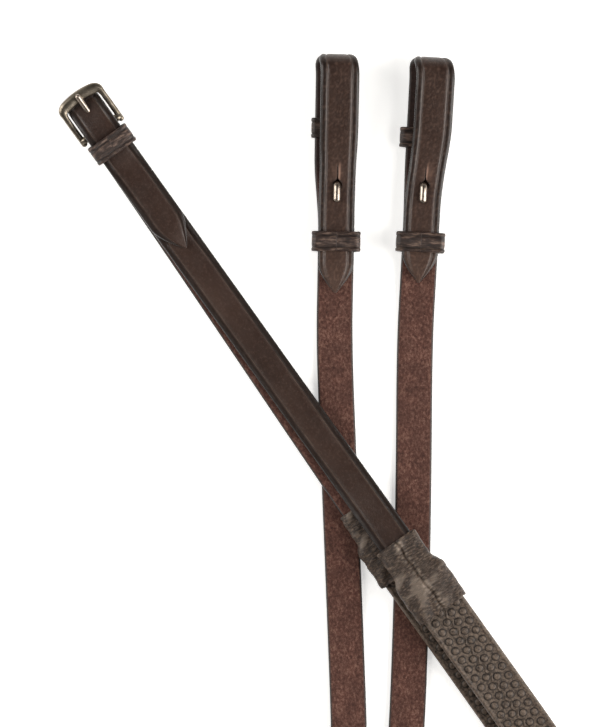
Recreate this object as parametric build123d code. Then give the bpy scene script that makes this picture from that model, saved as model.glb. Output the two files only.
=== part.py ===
"""A pair of leather bridle reins, lying flat: two straps joined by a buckle, with rubber grips and
hook-stud bit ends. Millimetres, +Z up. Each rein runs from the buckle down the diagonal, turns onto
its edge, goes round a long loop and comes back up to its bit end."""

from build123d import *
import math
import os

# ---- leather ----
strap_width = 16.0
strap_thickness = 3.0
gap = 0.3  # between soft layers that only lie on each other
seam = 0.05  # between two layers of one strap that are sewn together
step = 10.0  # longest stretch between two cross-sections of a strap

# ---- rubber grips and their wraps ----
rubber_wall = 2.0
rubber_side = 2.5
rubber_length = 660.0
wrap_wall = 1.3
wrap_side = 1.8
wrap_length = 36.0
wrap_on_strap = 16.5  # the part of a wrap that lies on plain strap
left_wrap_start = 224.6  # from the buckle's heel bar, along the strap
right_wrap_start = 202.0

# ---- buckle ----
bar_radius = 1.7
bar_play = 0.1
frame_reach = 19.6  # heel bar to the toe bar's outer edge, in the frame's plane
frame_play = 0.6  # from the strap's edge to a side bar
frame_thickness = 2.8
frame_side = 2.6
toe_bar = 5.2
toe_bow = 1.4  # how far its outer edge bows out
frame_tilt = 15.5
tongue_radius = 1.3
tongue_tilt = 26.4
tongue_length = 18.4
tongue_eye_wall = 1.2
tongue_width = 2.9
slot_width = 3.5
turn_back = 48.0
buckle_keeper_place = 8.8
buckle_keeper_tilt = 8.5
point_reach = 64.6  # heel bar to the tip of the right rein's point
point_taper = 15.0

# ---- keepers, loops and hook studs ----
keeper_length = 8.8
keeper_wall = 2.0
keeper_side = 2.3  # a keeper's leather beside the strap
keeper_play = 0.5  # and its clearance there
keeper_over = 0.4  # clearance over the layers it holds
buckle_keeper_side = 1.7
buckle_keeper_play = 0.4
runner_wall = 1.8
runner_play = 1.2
fold_radius = 5.0  # inner radius of the fold that the bit ring lies in
fold_reach = 75.0  # fixed keeper to the fold's centre
billet_rise = 30.0  # fixed keeper to where the front layer starts to leave the back one
stud_place = 24.8
stud_radius = 1.8
stud_reach = 7.2
washer_radius = 4.2
washer_thickness = 1.0
tip_taper = 12.5
ramp_start = -24.0
ramp_end = -9.0
bit_end_start = -32.0

# ---- plan: distances from the middle of the crossing straps, then moved to the outline's middle ----
outline_centre = (13.4, -169.7)
buckle_place = (-90.3, 103.65)
diagonal_heading = -54.5
left_bit_place, left_bit_turn = (13.5, 54.0), -0.97
right_bit_place, right_bit_turn = (50.8, 53.6), -3.0
left_tip, right_tip = -22.7, -17.9
left_runner, right_runner = 50.2, 46.3

# ---- heights of a strap's middle, worked out from the layers under it ----
half = strap_thickness / 2
on_floor = half
on_strap = strap_thickness + gap + half
bar_outer = bar_radius + bar_play + strap_thickness
bar_height = strap_thickness + gap + bar_outer
stitched = on_strap + strap_thickness + seam
grip_half = half + rubber_wall
grip_width = strap_width + 2 * rubber_side
grip_on_floor = grip_half
grip_on_strap = strap_thickness + gap + grip_half
on_edge = grip_width / 2
right_wrapped = strap_thickness + gap + wrap_wall + half
right_wrapped_grip = right_wrapped + rubber_wall
left_over_right = on_strap + strap_thickness + gap
left_over_wrap = right_wrapped_grip + grip_half + wrap_wall + gap + wrap_wall + half + 0.8
left_over_grips = left_over_wrap + 0.5
left_on_grip = 2 * grip_half + gap + grip_half + 0.1
over_fold = stitched + strap_thickness + gap + 0.1  # the right rein's point, on the left's fold
keeper_inside = keeper_wall + gap
frame_width = strap_width + 2 * (frame_play + frame_side)
back_layer = keeper_inside + half
front_layer = back_layer + strap_thickness + gap


def plan(x, y, height):
    """A point of the plan, in the part's frame."""
    return (x - outline_centre[0], y - outline_centre[1], height)


def diagonal(along, left, height):
    """A point of the diagonal: along it from the heel bar, and to the left of that way."""
    turn = math.radians(diagonal_heading)
    x = buckle_place[0] + along * math.cos(turn) - left * math.sin(turn)
    y = buckle_place[1] + along * math.sin(turn) + left * math.cos(turn)
    return plan(x, y, height)


def bit_end(place, turn, along, height):
    """A point on the middle line of a bit end, along it from its fixed keeper."""
    turn = math.radians(turn)
    return plan(place[0] - along * math.sin(turn), place[1] + along * math.cos(turn), height)


# The routes of the two straps' middle lines, from behind the buckle to below the bit ends.
left_route = [
    diagonal(30, 0, stitched),
    diagonal(52, 0, stitched),
    diagonal(66, 0, on_strap + 0.1),
    diagonal(110, 0, on_strap + 0.1),
    diagonal(152, 0, left_over_right),
    diagonal(187, 0, left_over_right + 0.3),
    diagonal(222, 0, left_over_wrap),
    diagonal(246, 0, left_over_grips),
    diagonal(264, 0, left_over_grips - 0.9),
    diagonal(306, 0, left_on_grip + 0.8),
    diagonal(332, 0, left_on_grip + 1.3),
    plan(119.0, -191.6, 13.0),
    plan(127.6, -224, 13.4),
    plan(130.4, -264, 11.9),
    plan(130.7, -308, 10.6),
    plan(131, -352, 10.7),
    plan(130.5, -396, 10.6),
    plan(130, -438, 10.7),
    plan(95, -473, 10.6),
    plan(45, -473, 10.7),
    plan(10, -438, 10.6),
    plan(8.5, -390, 10.7),
    plan(9.5, -342, 11.0),
    plan(12, -296, 13.4),
    plan(15, -252, 10.2),
    plan(18, -212, 6.6),
    plan(19.9, -176, 1.7),
    plan(17.2, -105, 1.5),
    plan(14.6, -40, 1.5),
    bit_end(left_bit_place, left_bit_turn, -46, on_floor),
    bit_end(left_bit_place, left_bit_turn, bit_end_start, on_floor),
]
right_route = [
    diagonal(-10, 0, on_floor),
    diagonal(16, 0, on_floor),
    diagonal(106, -2.2, on_floor),
    diagonal(149, -3.3, on_strap + 0.1),
    diagonal(187, -4.2, on_strap + 0.2),
    diagonal(203, -4.6, right_wrapped + 0.6),
    diagonal(220, -4.7, right_wrapped_grip + 0.6),
    diagonal(242, -4.7, right_wrapped_grip + 0.1),
    diagonal(265, -4.8, grip_on_strap + 0.3),
    diagonal(306, -5, grip_on_floor + 0.1),
    diagonal(334, -5.1, grip_on_floor + 0.3),
    plan(110.6, -195.9, 7.7),
    plan(118.2, -226.2, 11.0),
    plan(121.4, -264.5, 11.8),
    plan(122.5, -308, 10.6),
    plan(122.8, -352, 10.7),
    plan(122.3, -396, 10.6),
    plan(121.8, -434, 10.7),
    plan(91.6, -464.5, 10.6),
    plan(49, -464.5, 10.7),
    plan(18.6, -434, 10.6),
    plan(17.6, -390, 10.7),
    plan(20, -344, 10.9),
    plan(25.5, -298, 13.4),
    plan(33, -254, 11.4),
    plan(40, -213, 7.3),
    plan(44.4, -176, 1.7),
    plan(47, -110, 1.5),
    plan(48, -50, 1.5),
    bit_end(right_bit_place, right_bit_turn, -46, on_floor),
    bit_end(right_bit_place, right_bit_turn, bit_end_start, on_floor),
]
left_starts, right_starts = 30.0, -10.0  # where the routes start along the diagonal
turn_down = 105.0  # length of strap over which it turns from flat onto its edge
turn_up = 80.0
left_turns_down, right_turns_down = 335 - left_starts, 334 - right_starts


def route(points, name):
    """Straight runs joined by tangent arcs, each as large as its two runs allow."""
    corners = [Vector(*p) for p in points]
    radii = []
    for before, here, after in zip(corners, corners[1:], corners[2:]):
        turn = math.radians((here - before).get_angle(after - here))
        shorter = min((here - before).length, (after - here).length)
        radii.append(0.45 * shorter / math.tan(turn / 2))
    line = FilletPolyline(*corners, radius=radii)
    print(name, "length", round(line.length, 1), "radii", [round(r) for r in radii])
    return line


class Rein:
    """One strap's middle line, with the roll of its cross-section along it."""

    def __init__(self, points, name, turns_down, rubber_start, roll_after):
        self.line = route(points, name)
        self.turns_down = turns_down
        self.rubber_start = rubber_start
        self.rubber_end = rubber_start + rubber_length
        self.turns_up = self.rubber_end + wrap_length - wrap_on_strap + 8
        self.roll_after = roll_after

    def roll(self, distance):
        """Degrees from lying flat: at -90 its upper face looks out of the loop."""
        down = smooth((distance - self.turns_down) / turn_down)
        up = smooth((distance - self.turns_up) / turn_up)
        return -90 * down + (self.roll_after + 90) * up

    def plane(self, distance):
        place = self.line.position_at(distance, position_mode=PositionMode.LENGTH)
        ahead = self.line.tangent_at(distance, position_mode=PositionMode.LENGTH)
        level = Vector(-ahead.Y, ahead.X, 0).normalized()
        across = level.rotate(Axis((0, 0, 0), ahead), self.roll(distance))
        return Plane(place, x_dir=across, z_dir=ahead)

    def ribbon(self, start, stop, width, thickness):
        """A solid of one rectangular section along part of the line."""
        first, last = math.floor(start / step) + 1, math.ceil(stop / step)
        between = [k * step for k in range(first, last)]
        at = [start] + [d for d in between if start + 1 < d < stop - 1] + [stop]
        return loft([self.plane(d) * Rectangle(width, thickness) for d in at], ruled=True)


def smooth(share):
    share = min(max(share, 0.0), 1.0)
    return share * share * (3 - 2 * share)


def tangent_from(point, centre, radius, side):
    """Where the line from a point touches a circle, on its upper (+1) or lower (-1) side."""
    dx, dy = centre[0] - point[0], centre[1] - point[1]
    away = math.hypot(dx, dy)
    turn = math.atan2(dy, dx) + side * math.asin(radius / away)
    reach = math.sqrt(away**2 - radius**2)
    return point[0] + reach * math.cos(turn), point[1] + reach * math.sin(turn)


def angle_of(point, centre):
    return math.degrees(math.atan2(point[1] - centre[1], point[0] - centre[0]))


def upright(points):
    """Profile points (along, height) as points of the XZ plane."""
    return [(x, 0, z) for x, z in points]


def bent_strap(lines):
    """A strap bent in one upright plane, along lines and arcs that meet end to start."""
    path = Wire([edge for line in lines for edge in line.edges()])
    place = Plane(path.position_at(0), x_dir=(0, 1, 0), z_dir=path.tangent_at(0))
    return sweep(place * Rectangle(strap_width, strap_thickness), path=path)


def arc(centre, radius, start, stop):
    """An arc of the XZ plane, anticlockwise in (along, height)."""
    turn = Plane((centre[0], 0, centre[1]), x_dir=(1, 0, 0), z_dir=(0, -1, 0))
    return turn * CenterArc((0, 0), radius, start, stop - start)


def pointed(tip, taper, way):
    """The two corners to cut from a strap's end so that it comes to a point at tip."""
    blunt = 1.2
    corners = []
    for side in (-1, 1):
        edge, far = side * strap_width / 2, side * (strap_width / 2 + 2)
        outline = Polyline(
            (tip - way * taper, edge), (tip, side * blunt), (tip + way * 2, side * blunt),
            (tip + way * 2, far), (tip - way * taper, far), close=True,
        )
        corners.append(extrude(make_face(outline), 40))
    return corners


def slot(x_from, x_to, width, z_from, z_to):
    size = (x_to - x_from, width, z_to - z_from)
    return Pos((x_from + x_to) / 2, 0, (z_from + z_to) / 2) * Box(*size)


def ring_band(length, width, inner_width, z_from, z_to, z_inner_from, z_inner_to, soften=0.8):
    """A leather loop round a strap that runs along X."""
    band = Pos(0, 0, (z_from + z_to) / 2) * Box(length, width, z_to - z_from)
    band = fillet(band.edges().filter_by(Axis.X), soften)
    hole = Pos(0, 0, (z_inner_from + z_inner_to) / 2)
    return band - hole * Box(length + 2, inner_width, z_inner_to - z_inner_from)


# ---- shapes at the buckle, in its own frame: X along the diagonal, bar at X 0 ----
bar = (0.0, bar_height)
bar_path = bar_radius + bar_play + half
u_turn_radius = half + bar_path / 2 + 0.3
u_turn = (-14.0, on_floor + u_turn_radius)


def left_buckle_fold():
    """The left strap's end, turned back under itself round the heel bar."""
    knee = (13.5, bar_height + 1.4)
    leave = tangent_from(knee, bar, bar_path, -1)
    upper = FilletPolyline(
        *upright([(left_starts, stitched), (22, stitched), knee, leave]), radius=25
    )
    round_bar = arc(bar, bar_path, angle_of(leave, bar), 270)
    lower = Line((0, 0, on_strap), (turn_back, 0, on_strap))
    fold = bent_strap([upper, round_bar, lower])
    return fold - slot(-6, 4.3, slot_width, bar_height - 6, bar_height + 6)


def right_point():
    """The right strap's point: over the heel bar, down through the frame and back under it."""
    crest = (-1.5, over_fold + 4.55)
    enter = tangent_from(crest, u_turn, u_turn_radius, -1)
    top = FilletPolyline(
        *upright([
            (point_reach, over_fold - 2.05), (52, over_fold + 0.05), (22, over_fold),
            (14, over_fold + 1.75), crest, enter,
        ]),
        radius=[60, 60, 40, 17],
    )
    under = arc(u_turn, u_turn_radius, angle_of(enter, u_turn), 270)
    back = Line((u_turn[0], 0, on_floor), (right_starts, 0, on_floor))
    strap = bent_strap([top, under, back])
    strap -= pointed(point_reach, point_taper, 1)
    return strap - slot(-11.6, -3.0, slot_width, 7.5, 20)


def buckle_frame():
    """Toe bar and two side bars in one tilted plane, on the heel bar."""
    outer, inner = frame_width / 2, frame_width / 2 - frame_side
    toe, heel = -frame_reach, 1.5
    shoulder = toe + toe_bow
    bow = ThreePointArc((shoulder, -outer), (toe, 0), (shoulder, outer))
    outline = make_face(bow + Polyline(
        (shoulder, -outer), (heel, -outer), (heel, -inner), (toe + toe_bar, -inner),
        (toe + toe_bar, inner), (heel, inner), (heel, outer), (shoulder, outer),
    ))
    outline = fillet(outline.vertices().group_by(Axis.X)[0], 3.6)
    outline = fillet(outline.vertices().sort_by(Axis.X).filter_by(
        lambda v: abs(v.X - toe - toe_bar) < 0.01), 1.6)
    plate = extrude(outline, frame_thickness / 2, both=True)
    plate = fillet(plate.edges().group_by(Axis.Z)[-1], 1.0)
    plate = fillet(plate.edges().group_by(Axis.Z)[0], 0.8)
    heel_bar = Rot(X=90) * Cylinder(bar_radius, frame_width - 2)
    return Pos(0, 0, bar_height) * Rot(Y=frame_tilt) * (plate + heel_bar)


def buckle_tongue():
    """A rod from its eye round the heel bar to its tip over the toe bar."""
    hole = bar_radius + 0.05
    eye = Rot(X=90) * Cylinder(hole + tongue_eye_wall, tongue_width)
    eye -= Rot(X=90) * Cylinder(hole, tongue_width + 1)
    rod_start = -(bar_radius + 0.4)
    rod_long = tongue_length + rod_start
    rod = Pos(rod_start - rod_long / 2, 0, 0) * Rot(Y=90) * Cylinder(tongue_radius, rod_long)
    tip = Pos(-tongue_length, 0, 0) * Sphere(tongue_radius)
    return Pos(0, 0, bar_height) * Rot(Y=tongue_tilt) * (eye + rod + tip)


def buckle_keeper():
    """The fixed loop behind the buckle, its lower wall held between the left strap's layers."""
    inner = strap_width + 2 * buckle_keeper_play
    width = inner + 2 * buckle_keeper_side
    low = -half - 2.1
    top = low + 2 * strap_thickness + 1.4
    band = ring_band(keeper_length, width, inner, low - 1.4, top + 1.9, low, top)
    return Pos(buckle_keeper_place, 0, bar_height + 4.1) * Rot(Y=buckle_keeper_tilt) * band


def buckle_stitches():
    """Two rows of thread that close the turned-back end, seen on the left strap's face."""
    long, pitch, thick, inset = 2.5, 3.3, 0.2, 5.6
    rows = []
    for side in (-inset, inset):
        for k in range(7):
            stitch = Box(long, 0.8, thick)
            rows.append(Pos(25 + k * pitch, side, stitched + half + thick / 2) * stitch)
    return rows


# ---- shapes at a bit end, in its own frame: X towards the fold, fixed keeper at X 0 ----
def bit_strap(tip):
    """Back layer, fold for the bit ring, and front layer with its point."""
    middle = fold_radius + half
    centre = (fold_reach, back_layer + middle)
    knee = (billet_rise, front_layer)
    leave = tangent_from(knee, centre, middle, 1)
    back = FilletPolyline(
        *upright([
            (bit_end_start, on_floor), (ramp_start, on_floor), (ramp_end, back_layer),
            (fold_reach, back_layer),
        ]),
        radius=[30, 30],
    )
    fold = arc(centre, middle, -90, angle_of(leave, centre))
    front = FilletPolyline(*upright([leave, knee, (tip, front_layer)]), radius=60)
    strap = bent_strap([back, fold, front])
    for corner in pointed(tip, tip_taper, -1):
        strap -= Pos(0, 0, front_layer - half - gap / 2) * corner
    hole = Pos(stud_place, 0, 0)
    strap -= hole * Cylinder(stud_radius + 0.05, 2 * (front_layer - half - gap / 2))
    keyhole = hole * Cylinder(stud_radius + 0.5, 40)
    slit = slot(stud_place, stud_place + 7, 1.0, front_layer - half - gap / 2, 20)
    return strap - (keyhole & slot(0, 60, 40, front_layer - half - gap / 2, 20)) - slit


def fixed_keeper():
    top = front_layer + half + keeper_over
    inner = strap_width + 2 * keeper_play
    width = inner + 2 * keeper_side
    return ring_band(keeper_length, width, inner, 0, top + keeper_wall, keeper_wall, top)


def running_loop():
    """The loose loop, round the back layer only, pushed to the left."""
    top = back_layer + half + gap
    inner = strap_width + 2 * runner_play
    width = inner + 2 * runner_wall
    low = 0.2
    band = ring_band(
        keeper_length, width, inner, low, top + runner_wall, low + runner_wall, top, 0.6
    )
    return Pos(0, runner_play - 0.4, 0) * band


def hook_stud():
    """Riveted shank with its hook, bent back along the strap."""
    bend, height = 1.9, front_layer + half + gap + stud_radius + 0.05
    foot = back_layer - half - washer_thickness - 0.1
    nose = stud_place - stud_reach + stud_radius
    path = FilletPolyline(
        (stud_place, 0, foot), (stud_place, 0, height), (nose, 0, height), radius=bend
    )
    rod = sweep(Plane((stud_place, 0, foot)) * Circle(stud_radius), path=path)
    rod += Pos(nose, 0, height) * Sphere(stud_radius)
    head = Pos(stud_place, 0, foot - 0.3) * Cylinder(stud_radius + 0.7, 0.6)
    return rod + head


def stud_washer():
    washer = Cylinder(washer_radius, washer_thickness)
    washer -= Cylinder(stud_radius + 0.05, washer_thickness + 1)
    return Pos(stud_place, 0, back_layer - half - washer_thickness / 2 - 0.05) * washer


# ---- grips and wraps, along a rein's line ----
def wrap(rein, start, strap_first):
    """A leather sleeve over the grip's end and some plain strap beside it, with a step between."""
    stop = start + wrap_length
    rubber_edge = start + wrap_on_strap if strap_first else stop - wrap_on_strap
    way = -1 if strap_first else 1
    step_at = rubber_edge + way * 1.2 * wrap_wall
    on_plain = (strap_width + 2 * wrap_side, strap_thickness + 2 * wrap_wall)
    on_rubber = (grip_width + 2 * wrap_side, 2 * grip_half + 2 * wrap_wall)
    if strap_first:
        return rein.ribbon(start, step_at, *on_plain) + rein.ribbon(step_at, stop, *on_rubber)
    return rein.ribbon(start, step_at, *on_rubber) + rein.ribbon(step_at, stop, *on_plain)


def build():
    at_buckle = Location(diagonal(0, 0, 0), (0, 0, diagonal_heading))
    at_left_bit = Location(plan(*left_bit_place, 0), (0, 0, 90 + left_bit_turn))
    at_right_bit = Location(plan(*right_bit_place, 0), (0, 0, 90 + right_bit_turn))

    left_rubber = left_wrap_start + wrap_on_strap - left_starts
    right_rubber = right_wrap_start + wrap_on_strap - right_starts
    left = Rein(left_route, "left", left_turns_down, left_rubber, -180)
    right = Rein(right_route, "right", right_turns_down, right_rubber, 0)
    nodes = {}
    ends = {
        "left": (left, at_buckle * left_buckle_fold(), at_left_bit, left_tip, left_runner),
        "right": (right, at_buckle * right_point(), at_right_bit, right_tip, right_runner),
    }
    plain = (strap_width, strap_thickness)
    for side, (rein, buckle_end, at_bit, tip, runner) in ends.items():
        start, stop = rein.rubber_start, rein.rubber_end
        whole = rein.line.length
        upper = buckle_end + rein.ribbon(0, start, *plain)
        hand = rein.ribbon(start, stop, *plain)
        lower = at_bit * bit_strap(tip) + rein.ribbon(stop, whole, *plain)
        rubber = rein.ribbon(start, stop, grip_width, 2 * grip_half)
        upper_wrap = wrap(rein, start - wrap_on_strap, True)
        lower_wrap = wrap(rein, stop - wrap_length + wrap_on_strap, False)
        nodes[side + "_strap_buckle_end"] = upper
        nodes[side + "_strap_hand_part"] = hand
        nodes[side + "_strap_bit_end"] = lower
        nodes[side + "_rubber_grip"] = rubber - hand
        nodes[side + "_upper_wrap"] = upper_wrap - rubber - upper
        nodes[side + "_lower_wrap"] = lower_wrap - rubber - lower
        nodes[side + "_fixed_keeper"] = at_bit * fixed_keeper()
        nodes[side + "_running_loop"] = at_bit * Pos(runner, 0, 0) * running_loop()
        nodes[side + "_hook_stud"] = at_bit * hook_stud()
        nodes[side + "_stud_washer"] = at_bit * stud_washer()
        share = rein.ribbon(0, whole, *plain).volume / (whole * strap_width * strap_thickness)
        print(side, "strap volume over section times length", round(share, 4))
    nodes["buckle_frame"] = at_buckle * buckle_frame()
    nodes["buckle_tongue"] = at_buckle * buckle_tongue()
    nodes["buckle_keeper"] = at_buckle * buckle_keeper()
    nodes["buckle_stitching"] = Compound(children=[at_buckle * s for s in buckle_stitches()])
    return nodes


os.makedirs("parts", exist_ok=True)
built = build()
for node, shape in built.items():
    export_step(shape, f"parts/{node}.step")
whole_box = Compound([s for shape in built.values() for s in shape.solids()]).bounding_box()
print("outline", whole_box.min, whole_box.max)
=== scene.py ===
"""Looks for a pair of leather bridle reins: two straps joined by a buckle, with pimpled rubber grips and
hook-stud bit ends. Shapes are worked out in millimetres and made in metres, in the CAD part's frame."""

import math

import bpy
import numpy as np
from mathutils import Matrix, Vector, noise


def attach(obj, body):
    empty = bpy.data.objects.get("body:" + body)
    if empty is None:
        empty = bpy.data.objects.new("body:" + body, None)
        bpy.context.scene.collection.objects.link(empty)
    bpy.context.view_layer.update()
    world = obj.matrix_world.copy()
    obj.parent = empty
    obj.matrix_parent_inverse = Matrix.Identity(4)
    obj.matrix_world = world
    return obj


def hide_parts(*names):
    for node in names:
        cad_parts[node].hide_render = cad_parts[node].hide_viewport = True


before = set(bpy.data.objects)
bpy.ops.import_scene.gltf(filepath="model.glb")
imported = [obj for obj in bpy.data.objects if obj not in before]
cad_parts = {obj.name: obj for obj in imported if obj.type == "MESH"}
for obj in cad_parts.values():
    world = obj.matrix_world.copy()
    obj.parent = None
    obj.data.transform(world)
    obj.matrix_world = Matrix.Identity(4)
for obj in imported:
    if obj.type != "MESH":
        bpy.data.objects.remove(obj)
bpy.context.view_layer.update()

MM = 0.001

# ---- sizes, in millimetres ----
STRAP_WIDTH = 16.0
STRAP_THICKNESS = 3.0
GAP = 0.3
SEAM = 0.05
RUBBER_WALL = 2.0
RUBBER_SIDE = 2.5
RUBBER_LENGTH = 660.0
WRAP_WALL = 1.3
WRAP_SIDE = 1.8
WRAP_LENGTH = 36.0
WRAP_ON_STRAP = 16.5
PIMPLE_RADIUS = 1.62
PIMPLE_HEIGHT = 0.8
PIMPLE_PITCH = 5.0
PIMPLE_COLUMNS = (-6.4, -2.13, 2.13, 6.4)
BAR_RADIUS = 1.7
BAR_HEIGHT = 8.1
BAR_PLAY = 0.1
FRAME_REACH = 19.6
FRAME_WIDTH = 22.4
FRAME_TILT = math.radians(15.5)
TOE_BAR = 5.2
SIDE_BAR = 2.6
TONGUE_TILT = math.radians(26.4)
TONGUE_LENGTH = 18.4
TONGUE_RADIUS = 1.3
TURN_BACK = 48.0  # the left strap's end, from the heel bar
U_TURN = 3.45  # the right strap's turn below the frame
POINT_REACH = 64.6
POINT_TAPER = 15.0
FOLD_RADIUS = 5.0
FOLD_REACH = 75.0
FOLD_SPREAD = 0.06  # how much wider a bit end is over its fold
TIP_TAPER = 13.0
BILLET_RISE = 30.0
STUD_PLACE = 24.8
STUD_RADIUS = 1.8
HOOK_RADIUS = 1.6
STUD_REACH = 7.2
KEEPER_LENGTH = 8.8
KEEPER_WALL = 2.0
KEEPER_OVER = 0.4
KEEPER_HALF_WIDTH = 10.8
BUCKLE_KEEPER_PLACE = 8.8
BUCKLE_KEEPER_HALF_WIDTH = 10.1
BUCKLE_KEEPER_TILT = math.radians(8.5)
LOOP_WALL = 1.45
LOOP_FACE = 1.8  # the outer side of a running loop, over the layer that it rides on
BIT_END_START = -32.0
VIEW_LENGTH = 323.0788  # how much of the plan the picture shows from top to bottom

HALF = STRAP_THICKNESS / 2
ON_FLOOR = HALF
ON_STRAP = STRAP_THICKNESS + GAP + HALF
STITCHED = ON_STRAP + STRAP_THICKNESS + SEAM
GRIP_HALF = HALF + RUBBER_WALL
GRIP_WIDTH = STRAP_WIDTH + 2 * RUBBER_SIDE
GRIP_ON_STRAP = STRAP_THICKNESS + GAP + GRIP_HALF
RIGHT_WRAPPED = STRAP_THICKNESS + GAP + WRAP_WALL + HALF
RIGHT_WRAPPED_GRIP = RIGHT_WRAPPED + RUBBER_WALL
LEFT_OVER_RIGHT = ON_STRAP + STRAP_THICKNESS + GAP
LEFT_OVER_WRAP = RIGHT_WRAPPED_GRIP + GRIP_HALF + 2 * WRAP_WALL + GAP + HALF + 0.8
LEFT_OVER_GRIPS = LEFT_OVER_WRAP + 0.5
LEFT_ON_GRIP = 3 * GRIP_HALF + GAP + 0.1
OVER_FOLD = STITCHED + STRAP_THICKNESS + GAP + 0.1
BACK_LAYER = KEEPER_WALL + GAP + HALF
FRONT_LAYER = BACK_LAYER + STRAP_THICKNESS + GAP

# ---- places in the plan ----
OUTLINE_CENTRE = (13.4, -169.7)
BUCKLE_PLACE = (-90.3, 103.65)
DIAGONAL = math.radians(-54.5)


def plan(x, y, height):
    """A point of the plan, in the part's frame, in metres."""
    return Vector((x - OUTLINE_CENTRE[0], y - OUTLINE_CENTRE[1], height)) * MM


PLAN_MIDDLE = plan(0, 0, 0)


def diagonal(along, left, height):
    """A point of the diagonal: along it from the heel bar, and to the left of that way."""
    x = BUCKLE_PLACE[0] + along * math.cos(DIAGONAL) - left * math.sin(DIAGONAL)
    y = BUCKLE_PLACE[1] + along * math.sin(DIAGONAL) + left * math.cos(DIAGONAL)
    return plan(x, y, height)


class Place:
    """A frame on the plan: X along a heading, Y to its left, Z up."""

    def __init__(self, x, y, heading):
        self.origin = np.array(plan(x, y, 0))
        self.along = np.array((math.cos(heading), math.sin(heading), 0))
        self.left = np.array((-math.sin(heading), math.cos(heading), 0))

    def points(self, local):
        """Local points in millimetres, as points of the part's frame in metres."""
        x, y, z = np.moveaxis(np.asarray(local, float) * MM, -1, 0)[..., None]
        return self.origin + x * self.along + y * self.left + z * np.array((0, 0, 1))

    def point(self, along, left, height):
        return Vector(self.points((along, left, height)))


AT_BUCKLE = Place(*BUCKLE_PLACE, DIAGONAL)
AT_BIT = {
    "left": Place(13.5, 54.0, math.radians(90 - 0.97)),
    "right": Place(50.8, 53.6, math.radians(90 - 3.0)),
}
TIPS = {"left": -22.7, "right": -17.9}
RUNNERS = {"left": 50.2, "right": 46.3}
RUNNER_SIDES = {"left": (1.5, 10.3), "right": (0.9, 10.6)}  # centre to the left, and half width

ROUTES = {
    "left": [
        diagonal(30, 0, STITCHED), diagonal(52, 0, STITCHED), diagonal(66, 0, ON_STRAP + 0.1),
        diagonal(110, 0, ON_STRAP + 0.1), diagonal(152, 0, LEFT_OVER_RIGHT),
        diagonal(187, 0, LEFT_OVER_RIGHT + 0.3), diagonal(222, 0, LEFT_OVER_WRAP),
        diagonal(246, 0, LEFT_OVER_GRIPS), diagonal(264, 0, LEFT_OVER_GRIPS - 0.9),
        diagonal(306, 0, LEFT_ON_GRIP + 0.8), diagonal(332, 0, LEFT_ON_GRIP + 1.3),
        plan(119.0, -191.6, 13.0), plan(127.6, -224, 13.4), plan(130.4, -264, 11.9),
        plan(130.7, -308, 10.6), plan(131, -352, 10.7), plan(130.5, -396, 10.6),
        plan(130, -438, 10.7), plan(95, -473, 10.6), plan(45, -473, 10.7), plan(10, -438, 10.6),
        plan(8.5, -390, 10.7), plan(9.5, -342, 11.0), plan(12, -296, 13.4), plan(15, -252, 10.2),
        plan(18, -212, 6.6), plan(19.9, -176, 1.7), plan(17.2, -105, 1.5), plan(14.6, -40, 1.5),
        AT_BIT["left"].point(-46, 0, ON_FLOOR), AT_BIT["left"].point(BIT_END_START, 0, ON_FLOOR),
    ],
    "right": [
        diagonal(-10, 0, ON_FLOOR), diagonal(16, 0, ON_FLOOR), diagonal(106, -2.2, ON_FLOOR),
        diagonal(149, -3.3, ON_STRAP + 0.1), diagonal(187, -4.2, ON_STRAP + 0.2),
        diagonal(203, -4.6, RIGHT_WRAPPED + 0.6), diagonal(220, -4.7, RIGHT_WRAPPED_GRIP + 0.6),
        diagonal(242, -4.7, RIGHT_WRAPPED_GRIP + 0.1), diagonal(265, -4.8, GRIP_ON_STRAP + 0.3),
        diagonal(306, -5, GRIP_HALF + 0.1), diagonal(334, -5.1, GRIP_HALF + 0.3),
        plan(110.6, -195.9, 7.7), plan(118.2, -226.2, 11.0), plan(121.4, -264.5, 11.8),
        plan(122.5, -308, 10.6), plan(122.8, -352, 10.7), plan(122.3, -396, 10.6),
        plan(121.8, -434, 10.7), plan(91.6, -464.5, 10.6), plan(49, -464.5, 10.7),
        plan(18.6, -434, 10.6), plan(17.6, -390, 10.7), plan(20, -344, 10.9),
        plan(25.5, -298, 13.4), plan(33, -254, 11.4), plan(40, -213, 7.3), plan(44.4, -176, 1.7),
        plan(47, -110, 1.5), plan(48, -50, 1.5), AT_BIT["right"].point(-46, 0, ON_FLOOR),
        AT_BIT["right"].point(BIT_END_START, 0, ON_FLOOR),
    ],
}
ROUTE_LENGTHS = {"left": 1182.0, "right": 1190.0}  # of the CAD tubes, in millimetres
ROUTE_STARTS = {"left": 30.0, "right": -10.0}
WRAP_STARTS = {"left": 224.6, "right": 202.0}
TURNS_DOWN = {"left": 335.0, "right": 334.0}
TURN_DOWN = 105.0
TURN_UP = 80.0
TURN_UP_AFTER = 8.0  # plain strap between the lower wrap and the turn
ROLL_AFTER = {"left": -180.0, "right": 0.0}
BIT_TEXTURE_START = 1200.0  # keeps a bit end's pattern apart from the other pieces'
GRAIN_SIDE = {"left": 1.0, "right": -1.0}  # which way the grain faces from a strap's own frame


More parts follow.
